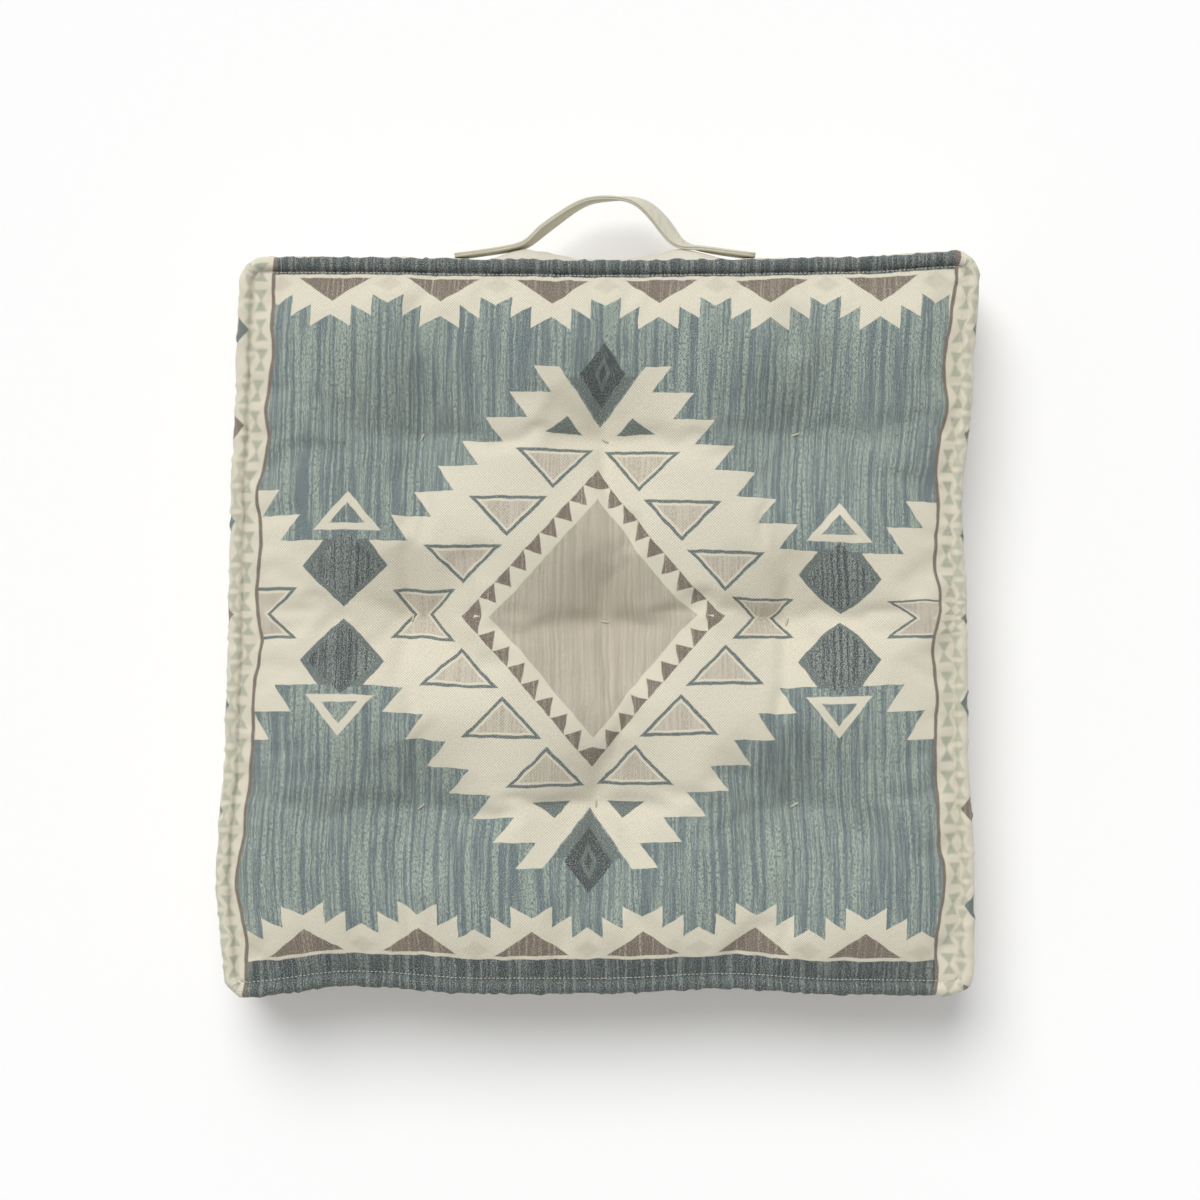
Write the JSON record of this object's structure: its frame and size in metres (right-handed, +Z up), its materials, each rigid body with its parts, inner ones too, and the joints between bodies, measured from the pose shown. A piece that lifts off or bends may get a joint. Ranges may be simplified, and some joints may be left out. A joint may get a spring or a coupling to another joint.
{
  "type": "floor cushion",
  "caption": "Square box-edge floor cushion in printed canvas over fibre, with rolled edges, tufted dimples and a folded strap handle on the back wall.",
  "frame": {"origin": "middle of the base, on the floor", "axes": "+Z up through the thickness, +Y towards the wall that carries the handle, +X to the right seen from the front"},
  "size_m": [0.6, 0.6355, 0.1],
  "materials": {
    "printed_canvas": "matt cotton canvas, kilim print in slate, sage, cream and brown",
    "plain_canvas": "matt plain cream cotton canvas",
    "strap_canvas": "folded cream canvas, edge stitched",
    "polyester_fibre": "white hollow fibre wadding",
    "cotton_twine": "waxed cotton tufting twine",
    "sewing_thread": "cream sewing thread"
  },
  "bodies": {
    "cushion": {"back_wall": "plain_canvas", "bottom_edge_stitching": "sewing_thread", "bottom_panel": "plain_canvas", "bottom_roll_strand": "polyester_fibre", "fibre_filling": "polyester_fibre", "front_wall": "plain_canvas", "handle_tab_left": "strap_canvas", "handle_tab_right": "strap_canvas", "left_wall": "plain_canvas", "right_wall": "plain_canvas", "tab_stitching_left": "sewing_thread", "tab_stitching_right": "sewing_thread", "top_edge_stitching": "sewing_thread", "top_panel": "printed_canvas", "top_roll_strand": "polyester_fibre", "tuft_tie_back_centre": "cotton_twine", "tuft_tie_back_left": "cotton_twine", "tuft_tie_back_right": "cotton_twine", "tuft_tie_front_centre": "cotton_twine", "tuft_tie_front_left": "cotton_twine", "tuft_tie_front_right": "cotton_twine", "tuft_tie_middle_centre": "cotton_twine", "tuft_tie_middle_left": "cotton_twine", "tuft_tie_middle_right": "cotton_twine"},
    "handle": {"handle_loop": "strap_canvas"}
  },
  "joints": [
    {"name": "handle_swing", "type": "hinge", "parent": "cushion", "child": "handle", "pos_m": [0, 0.2975, 0.05], "axis": [1, 0, 0], "range_deg": [-60, 60]}
  ]
}
